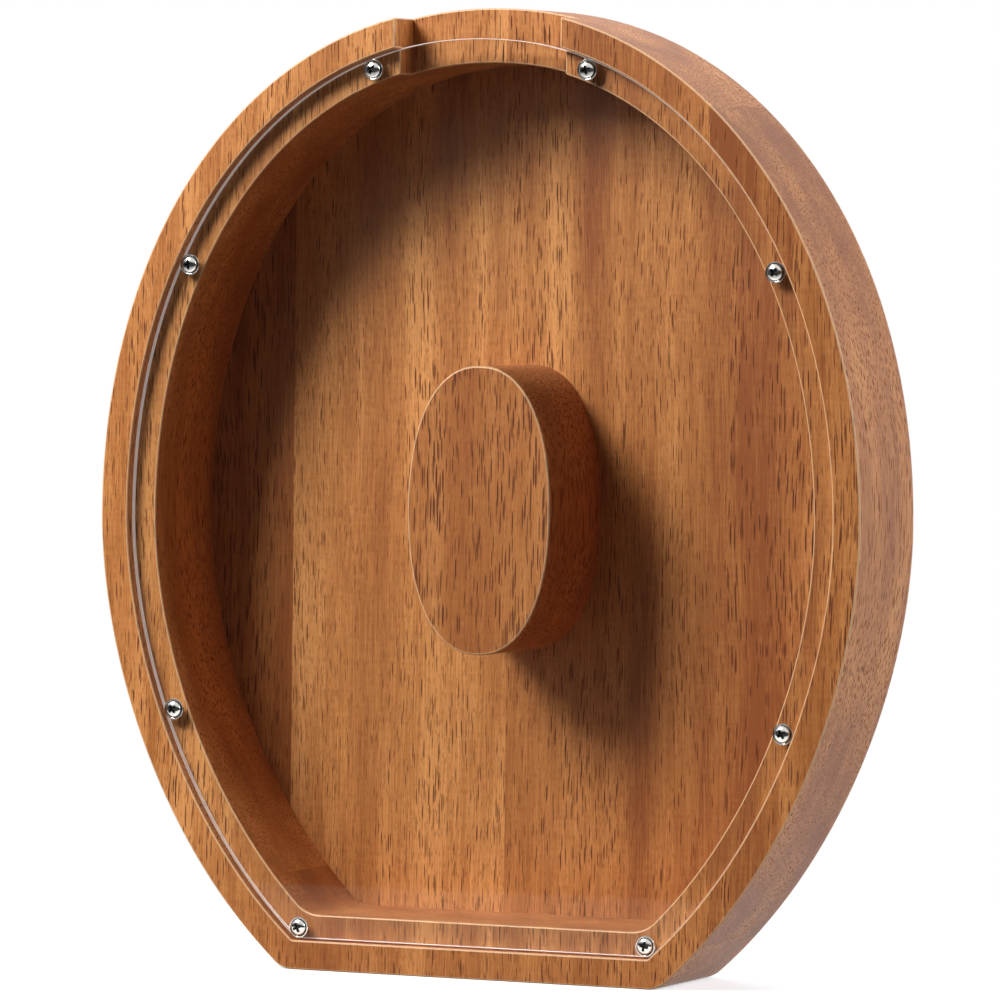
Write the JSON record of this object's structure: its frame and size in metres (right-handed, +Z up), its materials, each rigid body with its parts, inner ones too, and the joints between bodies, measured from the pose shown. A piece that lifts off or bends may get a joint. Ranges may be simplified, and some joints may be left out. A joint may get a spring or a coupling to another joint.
{
  "type": "wooden money box",
  "caption": "Upright oval wooden money box on a flat foot: a glued stave ring with a clear screwed-on front window, a back board, an oval block in the middle and a money slot in the top.",
  "frame": {"origin": "middle of the base, at the bottom centre of the box round the whole object", "axes": "+Z up along the height, front rim and window face -Y, +X to the right seen from the front"},
  "size_m": [0.1974, 0.0384, 0.23],
  "materials": {
    "ring_wood": "satin oiled hardwood, upright grain with dark pores",
    "back_wood": "satin oiled hardwood, upright grain with dark pores",
    "island_wood": "satin oiled hardwood, upright grain with dark pores",
    "clear_acrylic": "clear polished sheet with frosted edges",
    "screw_metal": "bright nickel or chrome plating"
  },
  "bodies": {
    "box": {"frame_left": "ring_wood", "frame_top_left": "ring_wood", "frame_bottom_left": "ring_wood", "frame_top_right": "ring_wood", "frame_bottom_right": "ring_wood", "frame_right": "ring_wood", "back_strip_1": "back_wood", "back_strip_2": "back_wood", "back_strip_3": "back_wood", "back_strip_4": "back_wood", "island": "island_wood"},
    "window": {"front_window": "clear_acrylic"},
    "screws": {"window_screws": "screw_metal"}
  },
  "joints": [
    {"name": "window_slide", "type": "slide", "parent": "box", "child": "window", "axis": [0, -1, 0], "range_m": [0, 0.06]},
    {"name": "screws_slide", "type": "slide", "parent": "window", "child": "screws", "axis": [0, -1, 0], "range_m": [0, 0.018]}
  ]
}
